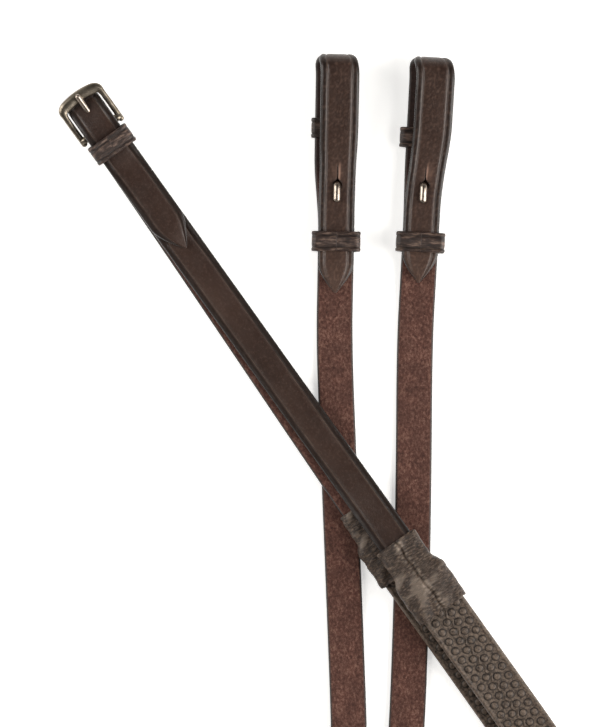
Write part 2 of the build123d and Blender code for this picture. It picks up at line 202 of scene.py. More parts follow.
# ---- lines and frames ----
def smooth_line(points):
    """Points read along the smooth line that has these control points."""
    curve = bpy.data.curves.new("line", "CURVE")
    curve.dimensions = "3D"
    curve.resolution_u = 24
    spline = curve.splines.new("NURBS")
    spline.points.add(len(points) - 1)
    for knot, point in zip(spline.points, points):
        knot.co = (*point, 1)
    spline.order_u = 3
    spline.use_endpoint_u = True
    holder = bpy.data.objects.new("line", curve)
    mesh = bpy.data.meshes.new_from_object(holder)
    line = np.array([v.co for v in mesh.vertices])
    bpy.data.objects.remove(holder)
    bpy.data.curves.remove(curve)
    bpy.data.meshes.remove(mesh)
    apart = np.linalg.norm(np.diff(line, axis=0), axis=1) > 1e-7
    return line[np.concatenate(([True], apart))]


def lengths_along(line):
    """How far along a line each of its own points is."""
    steps = np.linalg.norm(np.diff(line, axis=0), axis=1)
    return np.concatenate(([0.0], np.cumsum(steps)))


def read_line(line, along, distance):
    """Points at some distances along a line whose own points are at the distances in along."""
    return np.stack([np.interp(distance, along, axis) for axis in line.T], -1)


def unit(vectors):
    return vectors / np.linalg.norm(vectors, axis=-1, keepdims=True)


def ease(share):
    """A smooth step from 0 to 1."""
    share = np.clip(share, 0.0, 1.0)
    return share * share * (3 - 2 * share)


def bump_at(x, centre, width):
    return np.exp(-(((x - centre) / width) ** 2))


def circle(count):
    """Cosines and sines of evenly spaced turns."""
    turns = np.linspace(0, 2 * math.pi, count, endpoint=False)
    return np.cos(turns), np.sin(turns)


def noise_at(x, y, z):
    """Noise at each place of some arrays."""
    places = np.broadcast_arrays(x, y, z)
    values = [noise.noise(Vector(spot)) for spot in zip(*(axis.ravel() for axis in places))]
    return np.reshape(values, places[0].shape)


class Strip:
    """A strap's middle line, with the ways across it and out of its grain side all along it."""

    def __init__(self, line, across, grain):
        self.line = line
        self.along = lengths_along(line) / MM
        self.length = self.along[-1]
        self.across = across
        self.grain = grain

    def at(self, distance):
        return read_line(self.line, self.along, np.clip(distance, 0, self.length))

    def ahead(self, distance):
        reach = 0.7
        return unit(self.at(distance + reach) - self.at(distance - reach))

    def axes(self, distance):
        """The ways across and out at each distance."""
        ahead = self.ahead(distance)
        across = self.across(distance, ahead)
        return across, np.cross(ahead, across) * self.grain

    def places(self, distance, u, v):
        """Points at u across and v out, in millimetres, for each distance."""
        across, out = self.axes(distance)
        return self.at(distance) + across * (u * MM)[..., None] + out * (v * MM)[..., None]


def turned_across(side, scale):
    """The way across a rein that rolls from flat onto its edge and back."""
    start = ROUTE_STARTS[side]
    turns_down = TURNS_DOWN[side] - start
    rubber_end = WRAP_STARTS[side] + WRAP_ON_STRAP - start + RUBBER_LENGTH
    turns_up = rubber_end + WRAP_LENGTH - WRAP_ON_STRAP + TURN_UP_AFTER
    after = ROLL_AFTER[side]

    def across(distance, ahead):
        distance = distance * scale
        down = ease((distance - turns_down) / TURN_DOWN)
        up = ease((distance - turns_up) / TURN_UP)
        roll = np.radians(-90 * down + (after + 90) * up)[..., None]
        level = unit(np.stack([-ahead[..., 1], ahead[..., 0], np.zeros_like(ahead[..., 0])], -1))
        return level * np.cos(roll) + np.cross(ahead, level) * np.sin(roll)

    return across


def fixed_across(way):
    """The same way across all along a strip."""
    return lambda distance, ahead: np.broadcast_to(way, ahead.shape)


def rein(side):
    line = smooth_line(ROUTES[side])
    length = lengths_along(line)[-1] / MM
    return Strip(line, turned_across(side, ROUTE_LENGTHS[side] / length), GRAIN_SIDE[side])


def round_points(centre, radius, start, stop, count):
    """Control points that carry a smooth line round a circle, from start to stop in degrees."""
    turn = (stop - start) / count
    reach = radius / math.cos(math.radians(turn / 2))
    angles = [math.radians(start + turn * (k + 0.5)) for k in range(count)]
    return [(centre[0] + reach * math.cos(a), centre[1] + reach * math.sin(a)) for a in angles]


def folded(place, profile, sideways=None):
    """A line in an upright plane of a place, from profile points (along, height) in millimetres."""
    local = smooth_line([(x, 0, z) for x, z in profile])
    if sideways is not None:
        distance = lengths_along(local)
        local[:, 1] += sideways(distance, distance[-1])
    return place.points(local)


# ---- meshes ----
def make(name, vertices, faces, material, fields=None):
    """A smooth-shaded piece from vertices in metres and faces, with fields on its vertices."""
    mesh = bpy.data.meshes.new(name)
    mesh.from_pydata(np.asarray(vertices).tolist(), [], faces)
    mesh.polygons.foreach_set("use_smooth", [True] * len(mesh.polygons))
    for field, values in (fields or {}).items():
        values = np.asarray(values, np.float32)
        kind, slot_name = ("FLOAT_VECTOR", "vector") if values.ndim == 2 else ("FLOAT", "value")
        layer = mesh.attributes.new(field, kind, "POINT")
        layer.data.foreach_set(slot_name, values.ravel())
    mesh.materials.append(material)
    mesh.validate()
    piece = bpy.data.objects.new(name, mesh)
    bpy.context.collection.objects.link(piece)
    return piece


def volume(vertices, faces):
    """Six times the volume that the faces close in: negative where they face inwards."""
    total = 0.0
    for face in faces:
        a = vertices[face[0]]
        for k in range(1, len(face) - 1):
            total += np.dot(a, np.cross(vertices[face[k]], vertices[face[k + 1]]))
    return total


def skin(rows, closed=False):
    """Faces over rows of points (count, around): each row a ring; the ends are capped unless closed."""
    count, around = rows.shape[:2]
    vertices = rows.reshape(-1, 3)
    faces = []
    for i in range(count if closed else count - 1):
        low, high = i * around, ((i + 1) % count) * around
        for j in range(around):
            k = (j + 1) % around
            faces.append((low + j, low + k, high + k, high + j))
    if not closed:
        faces.append(tuple(range(around - 1, -1, -1)))
        faces.append(tuple((count - 1) * around + j for j in range(around)))
    if volume(vertices, faces) < 0:
        faces = [tuple(reversed(face)) for face in faces]
    return vertices, faces


def joined(shells):
    """Several shells, each its vertices and faces, as one."""
    vertices, faces, count = [], [], 0
    for more, new in shells:
        faces += [tuple(count + k for k in face) for face in new]
        vertices.append(more)
        count += len(more)
    return np.concatenate(vertices), faces


def texture_place(far, u, v):
    """Where each vertex is on its strap, in metres: along, across and out."""
    return np.stack([far.ravel(), u.ravel(), v.ravel()], -1) * MM


def stations(start, stop, spacing, fine=()):
    """Distances from start to stop, with the closer spacing of each (from, to, spacing) in fine."""
    found = [start]
    while found[-1] < stop - 1e-6:
        step = spacing
        for low, high, close in fine:
            if low <= found[-1] < high:
                step = min(step, close)
        found.append(min(found[-1] + step, stop))
    return np.array(found)


# One half of a strap's section, from the middle of the grain side round the edge to the flesh side:
# millimetres across and out. The crease is a groove pressed into the grain 3 mm in from the edge.
GRAIN_HALF = [
    (0.0, 1.5), (0.35, 1.5), (0.8, 1.5), (1.4, 1.5), (2.2, 1.5), (3.0, 1.5), (3.9, 1.48),
    (4.4, 1.44), (4.7, 1.36), (4.9, 1.22), (5.05, 1.12), (5.2, 1.12), (5.35, 1.24), (5.55, 1.38),
    (5.9, 1.46), (6.4, 1.48), (6.9, 1.43), (7.3, 1.3), (7.62, 1.08), (7.84, 0.78), (7.96, 0.4),
    (8.0, 0.0),
]
FLESH_HALF = [
    (7.96, -0.45), (7.86, -0.82), (7.66, -1.14), (7.36, -1.36), (6.95, -1.47), (6.3, -1.5),
    (4.5, -1.5), (2.2, -1.5), (0.0, -1.5),
]
HALF_SECTION = GRAIN_HALF + FLESH_HALF
SECTION = np.array(HALF_SECTION + [(-u, v) for u, v in HALF_SECTION[-2:0:-1]])


def section_fields():
    """How much each point of the section is edge, border, flesh side and crease."""
    u, v = np.abs(SECTION[:, 0]), SECTION[:, 1]
    edge = ease((u - 6.9) / 0.8)
    border = ease((u - 5.2) / 0.5) * (v > 0)
    flesh = ease((0.2 - v) / 0.9)
    crease = bump_at(u, 5.12, 0.3) * (v > 0)
    return edge, border, flesh, crease


def unmarked(far, u):
    """No marks and no painted highlight or shade, for a strap that has none of them."""
    return np.zeros_like(far)


def strap_piece(
    name, strip, distances, widths=None, thicknesses=None, offset=0.0, scuff_and_highlight=unmarked, fold_shade=unmarked
):
    """A strap along a strip: its section at each distance, with its texture's own coordinates."""
    n, m = len(distances), len(SECTION)
    widths = np.ones(n) if widths is None else widths
    thicknesses = np.ones(n) if thicknesses is None else thicknesses
    far = np.repeat(distances, m).reshape(n, m)
    u = SECTION[None, :, 0] * widths[:, None]
    v = SECTION[None, :, 1] * thicknesses[:, None]
    vertices, faces = skin(strip.places(far, u, v))
    edge, border, flesh, crease = (np.tile(field, n) for field in section_fields())
    fields = {
        "strap_place": texture_place(far + offset, u, v),
        "strap_edge": edge,
        "strap_border": border,
        "strap_scuff_and_highlight": scuff_and_highlight(far, u).ravel(),
        "strap_flesh": flesh,
        "strap_crease": crease * np.repeat(np.clip(widths, 0, 1), m),
        "strap_fold_shade": fold_shade(far, u).ravel(),
    }
    return make(name, vertices, faces, STRAP, fields)


def point_widths(distances, tip, taper):
    """Widths of a strap that comes to a rounded point at a distance."""
    blunt = 0.07
    share = np.clip(np.abs(distances - tip) / taper, 0, 1)
    return blunt + (1 - blunt) * (1 - (1 - share) ** 1.55)


# ---- materials ----
class Paint:
    """A node material being put together: each call adds a node and returns its output."""

    def __init__(self, name):
        self.material = bpy.data.materials.new(name)
        self.material.use_nodes = True
        self.tree = self.material.node_tree
        self.shader = next(n for n in self.tree.nodes if n.type == "BSDF_PRINCIPLED")

    def node(self, kind, **settings):
        made = self.tree.nodes.new("ShaderNode" + kind)
        for key, value in settings.items():
            setattr(made, key, value)
        return made

    def feed(self, socket, value):
        if isinstance(value, bpy.types.NodeSocket):
            self.tree.links.new(value, socket)
        else:
            socket.default_value = value

    def field(self, name, output="Fac"):
        return self.node("Attribute", attribute_name=name).outputs[output]

    def object_place(self):
        return self.node("TexCoord").outputs["Object"]

    def stretched(self, vector, scale):
        made = self.node("Mapping")
        self.feed(made.inputs["Vector"], vector)
        made.inputs["Scale"].default_value = scale
        return made.outputs["Vector"]

    def noise(self, vector, size, detail=3.0, roughness=0.55, distortion=0.0):
        """Noise from 0 to 1, with features about size millimetres across."""
        made = self.node("TexNoise")
        self.feed(made.inputs["Vector"], vector)
        made.inputs["Scale"].default_value = 1 / (size * MM)
        made.inputs["Detail"].default_value = detail
        made.inputs["Roughness"].default_value = roughness
        made.inputs["Distortion"].default_value = distortion
        return made.outputs["Fac"]

    def cells(self, vector, size):
        """Distance from the middle of the nearest of cells about size millimetres across."""
        made = self.node("TexVoronoi")
        self.feed(made.inputs["Vector"], vector)
        made.inputs["Scale"].default_value = 1 / (size * MM)
        return made.outputs["Distance"]

    def ramp(self, value, *stops):
        """A colour ramp from (place, colour) stops; a number is a grey."""
        made = self.node("ValToRGB")
        self.feed(made.inputs["Fac"], value)
        band = made.color_ramp
        while len(band.elements) < len(stops):
            band.elements.new(0.5)
        for element, (place, colour) in zip(band.elements, stops):
            element.position = place
            element.color = (colour,) * 3 + (1,) if isinstance(colour, (int, float)) else (*colour, 1)
        return made.outputs["Color"]

    def mix(self, share, first, second):
        made = self.node("Mix", data_type="RGBA")
        self.feed(made.inputs[0], share)
        for socket, value in ((made.inputs[6], first), (made.inputs[7], second)):
            self.feed(socket, (*value, 1) if isinstance(value, tuple) and len(value) == 3 else value)
        return made.outputs[2]

    def times(self, value, share):
        made = self.node("Math", operation="MULTIPLY")
        self.feed(made.inputs[0], value)
        self.feed(made.inputs[1], share)
        return made.outputs[0]

    def bump(self, height, millimetres, normal=None):
        made = self.node("Bump")
        made.inputs["Strength"].default_value = 1.0
        made.inputs["Distance"].default_value = millimetres * MM
        self.feed(made.inputs["Height"], height)
        if normal is not None:
            self.feed(made.inputs["Normal"], normal)
        return made.outputs["Normal"]

    def finish(self, colour, roughness, normal=None, **constants):
        self.feed(self.shader.inputs["Base Color"], colour)
        self.feed(self.shader.inputs["Roughness"], roughness)
        if normal is not None:
            self.feed(self.shader.inputs["Normal"], normal)
        for key, value in constants.items():
            self.shader.inputs[key.replace("_", " ")].default_value = value
        return self.material


def strap_leather():
    """Waxed grain, suede flesh side and burnished edges, told apart by the strap's own fields."""
    paint = Paint("strap_leather")
    place = paint.field("strap_place", "Vector")
    edge, flesh = paint.field("strap_edge"), paint.field("strap_flesh")
    crease, border = paint.field("strap_crease"), paint.field("strap_border")
    # grain side
    cloud = paint.noise(paint.stretched(place, (0.4, 1, 1)), 16, 4)
    grain = paint.ramp(cloud, (0.3, (0.0190, 0.0092, 0.0064)), (0.7, (0.0420, 0.0235, 0.0175)))
    speck = paint.noise(place, 1.1, 5, 0.72)
    grain = paint.mix(paint.ramp(speck, (0.5, 0.0), (0.72, 0.6)), grain, (0.074, 0.045, 0.035))
    grain = paint.mix(paint.times(border, 0.72), grain, (0.0060, 0.0030, 0.0020))
    # Painted highlight: the crease lines lightened, broken up by noise.
    blotchy = paint.noise(paint.stretched(place, (0.35, 1, 1)), 2.4, 4, 0.7)
    line = paint.times(crease, paint.ramp(blotchy, (0.3, 0.1), (0.7, 0.85)))
    grain = paint.mix(line, grain, (0.095, 0.064, 0.050))
    # Rubbed spots and marks, and a painted highlight towards the bit ends' tips.
    grain = paint.mix(paint.field("strap_scuff_and_highlight"), grain, (0.30, 0.18, 0.135))
    # flesh side
    nap = paint.noise(paint.stretched(place, (0.8, 1, 1)), 1.15, 7, 0.82, 0.3)
    patch = paint.noise(place, 7, 4, 0.6)
    suede = paint.ramp(
        nap,
        (0.34, (0.016, 0.0055, 0.0040)),
        (0.5, (0.090, 0.0350, 0.0250)),
        (0.66, (0.225, 0.122, 0.091)),
    )
    suede = paint.mix(paint.ramp(patch, (0.35, 0.0), (0.72, 0.6)), suede, (0.040, 0.0160, 0.0115))
    # Painted shade: the flesh side darkened within the bit ends' folds, where the layers shade it.
    fold_shade = paint.ramp(paint.field("strap_fold_shade"), (0.0, 0.0), (1.0, 0.8))
    suede = paint.mix(fold_shade, suede, (0.008, 0.005, 0.004))
    # burnished edges
    fray = paint.noise(paint.stretched(place, (0.25, 1, 1)), 0.5, 4)
    rim = paint.ramp(fray, (0.3, (0.006, 0.004, 0.0035)), (0.8, (0.024, 0.017, 0.014)))
    face = paint.mix(flesh, grain, suede)
    colour = paint.mix(edge, face, rim)
    face_rough = paint.mix(
        flesh,
        paint.ramp(paint.noise(place, 3.5, 5), (0.3, 0.3), (0.7, 0.42)),
        paint.ramp(nap, (0.2, 0.92), (0.8, 0.78)),
    )
    roughness = paint.mix(edge, face_rough, (0.26, 0.26, 0.26))
    pores = paint.cells(place, 0.5)
    creases = paint.noise(paint.stretched(place, (1.4, 0.7, 1)), 1.3, 5, 0.65)
    grain_height = paint.ramp(paint.mix(0.5, pores, creases), (0.0, 0.0), (1.0, 0.4))
    height = paint.mix(flesh, grain_height, nap)
    height = paint.mix(edge, height, paint.ramp(fray, (0.0, 0.0), (1.0, 0.25)))
    normal = paint.bump(height, 0.34)
    return paint.finish(colour, roughness, normal, Specular_IOR_Level=0.3)


def keeper_leather():
    """The same leather worked hard: rubbed ridges and fine creases across."""
    paint = Paint("keeper_leather")
    place = paint.field("strap_place", "Vector")
    crease = paint.field("strap_crease")
    rub = paint.noise(paint.stretched(place, (0.35, 1.4, 1)), 1.9, 5, 0.6)
    colour = paint.ramp(
        rub,
        (0.34, (0.0085, 0.0038, 0.0026)),
        (0.5, (0.028, 0.0145, 0.0105)),
        (0.68, (0.150, 0.098, 0.074)),
    )
    # Painted shade in the grooves beside the edge ridges.
    colour = paint.mix(paint.times(crease, 0.75), colour, (0.008, 0.005, 0.004))
    lines = paint.noise(paint.stretched(place, (0.3, 2.2, 1)), 1.0, 5, 0.7)
    normal = paint.bump(lines, 0.25)
    roughness = paint.ramp(rub, (0.3, 0.34), (0.75, 0.46))
    return paint.finish(colour, roughness, normal, Specular_IOR_Level=0.4)


def wrap_leather():
    """Thin soft leather, gathered: fine wrinkles across, and painted highlights on its raised folds."""
    paint = Paint("wrap_leather")
    place = paint.field("strap_place", "Vector")
    crest_highlight = paint.field("wrap_crest_highlight")
    wrinkle = paint.noise(paint.stretched(place, (2.0, 0.6, 1)), 1.2, 6, 0.7, 0.5)
    broad = paint.noise(place, 6, 3)
    colour = paint.ramp(
        wrinkle,
        (0.36, (0.007, 0.0036, 0.0022)),
        (0.5, (0.034, 0.0200, 0.0130)),
        (0.66, (0.150, 0.104, 0.073)),
    )
    colour = paint.mix(paint.ramp(broad, (0.35, 0.0), (0.75, 0.4)), colour, (0.018, 0.011, 0.008))
    # Painted highlight on the raised puckers and gathers.
    colour = paint.mix(crest_highlight, colour, (0.33, 0.262, 0.208))
    normal = paint.bump(wrinkle, 0.36)
    normal = paint.bump(paint.cells(place, 0.45), 0.12, normal)
    roughness = paint.ramp(wrinkle, (0.3, 0.46), (0.8, 0.34))
    return paint.finish(colour, roughness, normal, Specular_IOR_Level=0.32)


def grip_rubber():
    """Dull brown moulded rubber, with painted shade in a dark ring round each pimple's foot and along the
    bead's sides.
    """
    paint = Paint("grip_rubber")
    place = paint.field("strap_place", "Vector")
    shade = paint.field("pimple_shade")
    dust = paint.noise(place, 1.4, 6, 0.7)
    colour = paint.ramp(dust, (0.36, (0.017, 0.0105, 0.0072)), (0.68, (0.165, 0.120, 0.090)))
    colour = paint.mix(paint.times(shade, 0.92), colour, (0.004, 0.0025, 0.0018))
    normal = paint.bump(paint.noise(place, 0.35, 4, 0.6), 0.08)
    roughness = paint.ramp(dust, (0.3, 0.5), (0.75, 0.66))
    return paint.finish(colour, roughness, normal, Specular_IOR_Level=0.35)


def thread():
    paint = Paint("thread")
    place = paint.object_place()
    twist = paint.noise(place, 0.3, 3)
    colour = paint.ramp(twist, (0.3, (0.020, 0.014, 0.011)), (0.7, (0.060, 0.046, 0.037)))
    return paint.finish(colour, 0.6, paint.bump(twist, 0.1))


def antique_metal(name, dark, light, rough):
    """Worn nickel plate: smoky in patches, with fine scratches."""
    paint = Paint(name)
    place = paint.object_place()
    smoke = paint.noise(place, 3.2, 4, 0.6)
    colour = paint.ramp(smoke, (0.3, dark), (0.7, light))
    scratch = paint.noise(paint.stretched(place, (1, 6, 1)), 0.5, 5, 0.7)
    roughness = paint.ramp(scratch, (0.3, rough), (0.8, rough + 0.14))
    normal = paint.bump(scratch, 0.02)
    return paint.finish(colour, roughness, normal, Metallic=1.0)


STRAP = strap_leather()
KEEPER = keeper_leather()
WRAP = wrap_leather()
RUBBER = grip_rubber()
THREAD = thread()
BUCKLE_METAL = antique_metal("buckle_metal", (0.14, 0.118, 0.09), (0.30, 0.26, 0.21), 0.26)
STUD_METAL = antique_metal("stud_metal", (0.22, 0.18, 0.15), (0.36, 0.305, 0.26), 0.22)


# ---- straps ----
def left_fold_profile():
    """The left strap's end: under layer, round the heel bar, and back over it."""
    bar = (0.0, BAR_HEIGHT)
    middle = BAR_RADIUS + BAR_PLAY + HALF
    under = [(TURN_BACK, ON_STRAP), (25, ON_STRAP), (1.4, ON_STRAP)]
    over = [(2.4, BAR_HEIGHT + middle), (13.5, BAR_HEIGHT + 1.4), (22, STITCHED), (30, STITCHED)]
    return under + round_points(bar, middle, 270, 90, 4) + over


def right_point_profile():
    """The right strap's point: over the heel bar, down through the frame and back under it."""
    top = [
        (POINT_REACH, OVER_FOLD - 2.6), (57, OVER_FOLD - 0.9), (48, OVER_FOLD + 0.1),
        (22, OVER_FOLD), (14, OVER_FOLD + 1.75), (-1.5, OVER_FOLD + 4.55), (-10.0, OVER_FOLD + 0.2),
    ]
    back = [(-12.5, ON_FLOOR), (-10, ON_FLOOR)]
    return top + round_points((-14.0, ON_FLOOR + U_TURN), U_TURN, 119, 270, 4) + back


def bit_profile(tip, fold_reach):
    """Back layer, the fold that holds the bit ring, and the front layer down to its point."""
    middle = FOLD_RADIUS + HALF
    centre = (fold_reach, BACK_LAYER + middle)
    back = [
        (BIT_END_START, ON_FLOOR), (-24, ON_FLOOR), (-9, BACK_LAYER), (20, BACK_LAYER),
        (fold_reach - 1.5, BACK_LAYER),
    ]
    front = [(BILLET_RISE + 22, FRONT_LAYER + 5.1), (BILLET_RISE, FRONT_LAYER), (tip, FRONT_LAYER)]
    return back + round_points(centre, middle, -90, 102, 5) + front


def left_buckle_end():
    line = folded(AT_BUCKLE, left_fold_profile())
    strip = Strip(line, fixed_across(AT_BUCKLE.left), 1.0)
    distances = stations(0, strip.length, 0.9)
    thin = 0.75 + 0.25 * ease(distances / 8)
    return strap_piece("left_buckle_fold", strip, distances, thicknesses=thin, offset=-strip.length)


def right_buckle_end():
    line = folded(AT_BUCKLE, right_point_profile())
    strip = Strip(line, fixed_across(AT_BUCKLE.left), -1.0)
    distances = stations(0, strip.length, 0.8, [(0, POINT_TAPER, 0.3)])
    widths = point_widths(distances, 0, POINT_TAPER)
    thin = 0.72 + 0.28 * ease(distances / 9)
    return strap_piece("right_point", strip, distances, widths, thin, -strip.length)


# How far each bit end's layers lie to the right of its middle line: (back layer, front layer).
LAYER_SHIFTS = {"left": (-2.2, 0.5), "right": (-0.6, 2.6)}
KEYHOLE_SHIFTS = {side: -0.25 * front for side, (_, front) in LAYER_SHIFTS.items()}
FOLD_REACHES = {"left": FOLD_REACH - 0.5, "right": FOLD_REACH - 1.3}


def bit_end_strip(side):
    """The strip round a bit end, its two layers set a little apart sideways above the keeper."""
    back, front = LAYER_SHIFTS[side]

    def sideways(distance, length):
        start = -BIT_END_START
        out = ease((distance - start - 4) / 34)
        over = ease((distance - start - FOLD_REACH - 2) / 20)
        front_start = length - (FOLD_REACH + 6 - TIPS[side])
        home = 1 - ease((distance - front_start - 28) / 40)
        return -(out * (back + (front - back) * over)) * home

    line = folded(AT_BIT[side], bit_profile(TIPS[side], FOLD_REACHES[side]), sideways)
    return Strip(line, fixed_across(-GRAIN_SIDE[side] * AT_BIT[side].left), GRAIN_SIDE[side])


def keyhole_outline(shift):
    """A round hole with a slit that runs from it towards the fold."""
    reach, wide, slit = 2.0, 1.9, 0.12
    angles = [math.radians(28 + 304 * k / 24) for k in range(25)]
    outline = [(0.2 + reach * math.cos(a), shift + wide * math.sin(a)) for a in angles]
    outline += [(2.9, shift - slit * 2), (8.2, shift - slit), (8.8, shift)]
    outline += [(8.2, shift + slit), (2.9, shift + slit * 2)]
    return [(STUD_PLACE + x, y) for x, y in outline]


def cut_keyhole(piece, side):
    """Cuts the hole and slit that the hook goes through from a bit end's front layer."""
    outline = keyhole_outline(KEYHOLE_SHIFTS[side])
    low, high = FRONT_LAYER - HALF - GAP / 2, FRONT_LAYER + 6
    ring = len(outline)
    points = [(x, y, z) for z in (low, high) for x, y in outline]
    faces = [(k, (k + 1) % ring, ring + (k + 1) % ring, ring + k) for k in range(ring)]
    faces += [tuple(range(ring - 1, -1, -1)), tuple(range(ring, 2 * ring))]
    cutter = make(side + "_keyhole_cutter", AT_BIT[side].points(points), faces, STRAP)
    cut = piece.modifiers.new("keyhole", "BOOLEAN")
    cut.operation = "DIFFERENCE"
    cut.solver = "EXACT"
    cut.object = cutter
    ready = piece.evaluated_get(bpy.context.evaluated_depsgraph_get())
    mesh = bpy.data.meshes.new_from_object(ready)
    piece.modifiers.clear()
    piece.data = mesh
    bpy.data.objects.remove(cutter)
    return piece


def bit_end(side):
    """A bit end, a little wider over its fold, with rubbed spots, a rubbed keyhole slit, a painted
    highlight towards its tip and painted shade on the flesh within its fold.
    """
    strip = bit_end_strip(side)
    length = strip.length
    stud = length - (STUD_PLACE - TIPS[side])
    bend = -BIT_END_START + FOLD_REACHES[side] + (FOLD_RADIUS + HALF) * math.pi / 2
    tip = length - TIP_TAPER - 0.5
    fine = [(tip, length, 0.3), (stud - 14, stud + 6, 0.5), (bend - 9, bend + 9, 0.5)]
    distances = stations(0, length, 0.9, fine)
    spread = 1 + FOLD_SPREAD * ease((distances - bend + 12) / 10) * ease((stud - 4 - distances) / 22)
    round_top = 1 - 0.17 * bump_at(distances, bend, 3.0)
    widths = point_widths(distances, length, TIP_TAPER) * spread * round_top
    thin = 0.72 + 0.28 * ease((length - distances) / 9)
    shift = -GRAIN_SIDE[side] * KEYHOLE_SHIFTS[side]

    def scuff_and_highlight(far, u):
        along = stud - far
        slit = bump_at(u - shift, 0.55, 0.28) * ease((along - 1.5) / 2) * ease((11.5 - along) / 5)
        rub = bump_at(u - shift, 0, 2.2) * bump_at(along, 5.5, 3.5)
        # Rubbed spots at random.
        blotchy = 0.11 * np.clip(noise_at(far * 0.75, u * 1.2, 4.0) * 2.2, 0, 1)
        # Painted highlight: the last stretch towards the point lighter, as if it caught the light.
        tip_highlight = 0.10 * ease((30 - (length - far)) / 26)
        return np.clip(0.9 * slit + 0.2 * rub + blotchy + tip_highlight, 0, 1)

    # Painted shade on the flesh within the fold, from past the keeper to short of the hook stud.
    def fold_shade(far, u):
        return ease((far + BIT_END_START - 16) / 22) * ease((stud - 16 - far) / 12)

    name = side + "_bit_end"
    piece = strap_piece(name, strip, distances, widths, thin, BIT_TEXTURE_START, scuff_and_highlight, fold_shade)
    return cut_keyhole(piece, side)


def long_strap(side, strip):
    return strap_piece(side + "_rein_strap", strip, stations(0, strip.length, 1.6))


# ---- grips and wraps ----
def rounded_ring(half_width, half_height, radius, count):
    """Evenly spaced points round a rectangle with rounded corners, from the middle of its top."""
    turns = np.radians(np.linspace(90, 0, 9))
    across, up = half_width - radius, half_height - radius
    corner = [(across + radius * math.cos(t), up + radius * math.sin(t)) for t in turns]
    quarter = [(0.0, half_height)] + corner + [(half_width, 0.0)]
    right = quarter + [(u, -v) for u, v in quarter[-2::-1]]
    ring = np.array(right + [(-u, v) for u, v in right[-2:0:-1]] + [right[0]])
    along = lengths_along(ring)
    return read_line(ring, along, np.linspace(0, along[-1], count, endpoint=False))


def ways_out(ring):
    """The way out of a ring at each of its points."""
    ahead = np.roll(ring, -1, -2) - np.roll(ring, 1, -2)
    return unit(np.stack([-ahead[..., 1], ahead[..., 0]], -1))


GRIP_FACE = GRIP_HALF - PIMPLE_HEIGHT
GRIP_EDGE_HALF = [
    (0.0, GRIP_FACE), (4.3, GRIP_FACE), (8.3, GRIP_FACE), (8.7, GRIP_FACE + 0.06),
    (9.0, GRIP_FACE + 0.3), (9.5, GRIP_FACE + 0.3), (9.9, GRIP_FACE + 0.02), (10.2, GRIP_FACE - 0.4),
    (10.42, GRIP_FACE - 1.1), (10.5, 0.9), (10.5, 0.3), (10.42, 0.0),
]
# A pimple from its foot up: radius and height, as shares of its size, and how dark its painted shade is.
PIMPLE_PROFILE = np.array([
    (1.32, 0.01, 0.0), (1.12, 0.02, 0.8), (1.0, 0.04, 1.0), (0.96, 0.4, 0.8), (0.84, 0.76, 0.2),
    (0.48, 0.96, 0.0),
])
PIMPLE_SIDES = 12
BEAD = [(-0.62, -0.02), (-0.4, 0.26), (0.0, 0.42), (0.4, 0.26), (0.62, -0.02)]
BEAD_SHADE = (0.8, 0.1, 0.0, 0.1, 0.8)


def grip_sleeve(strip, start):
    """The sleeve's plain skin: vertices, faces, texture places and shade."""
    right = GRIP_EDGE_HALF + [(u, -v) for u, v in GRIP_EDGE_HALF[-2::-1]]
    ring = np.array(right + [(-u, v) for u, v in right[-2:0:-1]])
    distances = stations(start, start + RUBBER_LENGTH, 2.0)
    far, u = np.meshgrid(distances, ring[:, 0], indexing="ij")
    v = np.broadcast_to(ring[:, 1], far.shape)
    return *skin(strip.places(far, u, v)), texture_place(far, u, v), np.zeros(far.size)


def pimple_centres(start):
    centres = []
    for column, across in enumerate(PIMPLE_COLUMNS):
        first = start + 2.5 + PIMPLE_PITCH / 2 * (column % 2)
        centres += [(s, across) for s in np.arange(first, start + RUBBER_LENGTH - 2, PIMPLE_PITCH)]
    return np.array(centres)


def pimple_faces():
    """One pimple's faces: bands between its rings, and a fan round its tip."""
    faces = []
    for low in range(0, (len(PIMPLE_PROFILE) - 1) * PIMPLE_SIDES, PIMPLE_SIDES):
        high = low + PIMPLE_SIDES
        for a in range(PIMPLE_SIDES):
            b = (a + 1) % PIMPLE_SIDES
            faces.append((low + a, low + b, high + b, high + a))
    tip = high + PIMPLE_SIDES
    return faces + [(high + a, high + (a + 1) % PIMPLE_SIDES, tip) for a in range(PIMPLE_SIDES)]


def pimples(strip, start, way):
    """All the pimples of one face of a grip: way is 1 on its outer face and -1 on its inner one."""
    centres = pimple_centres(start)
    share, height, shade = PIMPLE_PROFILE.T

    def rings(middle, turn):
        round_middle = middle[:, None, None] + (share * PIMPLE_RADIUS)[:, None] * turn
        return np.concatenate([round_middle.reshape(len(middle), -1), middle[:, None]], 1)

    cos, sin = circle(PIMPLE_SIDES)
    far = rings(centres[:, 0], cos)
    u = rings(centres[:, 1], sin) * way
    rise = GRIP_FACE + np.append(np.repeat(height, PIMPLE_SIDES), 1.0) * PIMPLE_HEIGHT
    v = np.broadcast_to(rise * way, far.shape)
    places = strip.places(far, u, v)
    one = pimple_faces()
    a, b, c = places[0][list(one[-1])]
    _, out = strip.axes(far[0, -1:])
    if np.dot(np.cross(b - a, c - a), out[0] * way) < 0:
        one = [tuple(reversed(face)) for face in one]
    faces = [tuple(low + k for k in face) for low in range(0, far.size, far.shape[1]) for face in one]
    shades = np.tile(np.append(np.repeat(shade, PIMPLE_SIDES), 0.0), len(centres))
    return places.reshape(-1, 3), faces, texture_place(far, u, v), shades


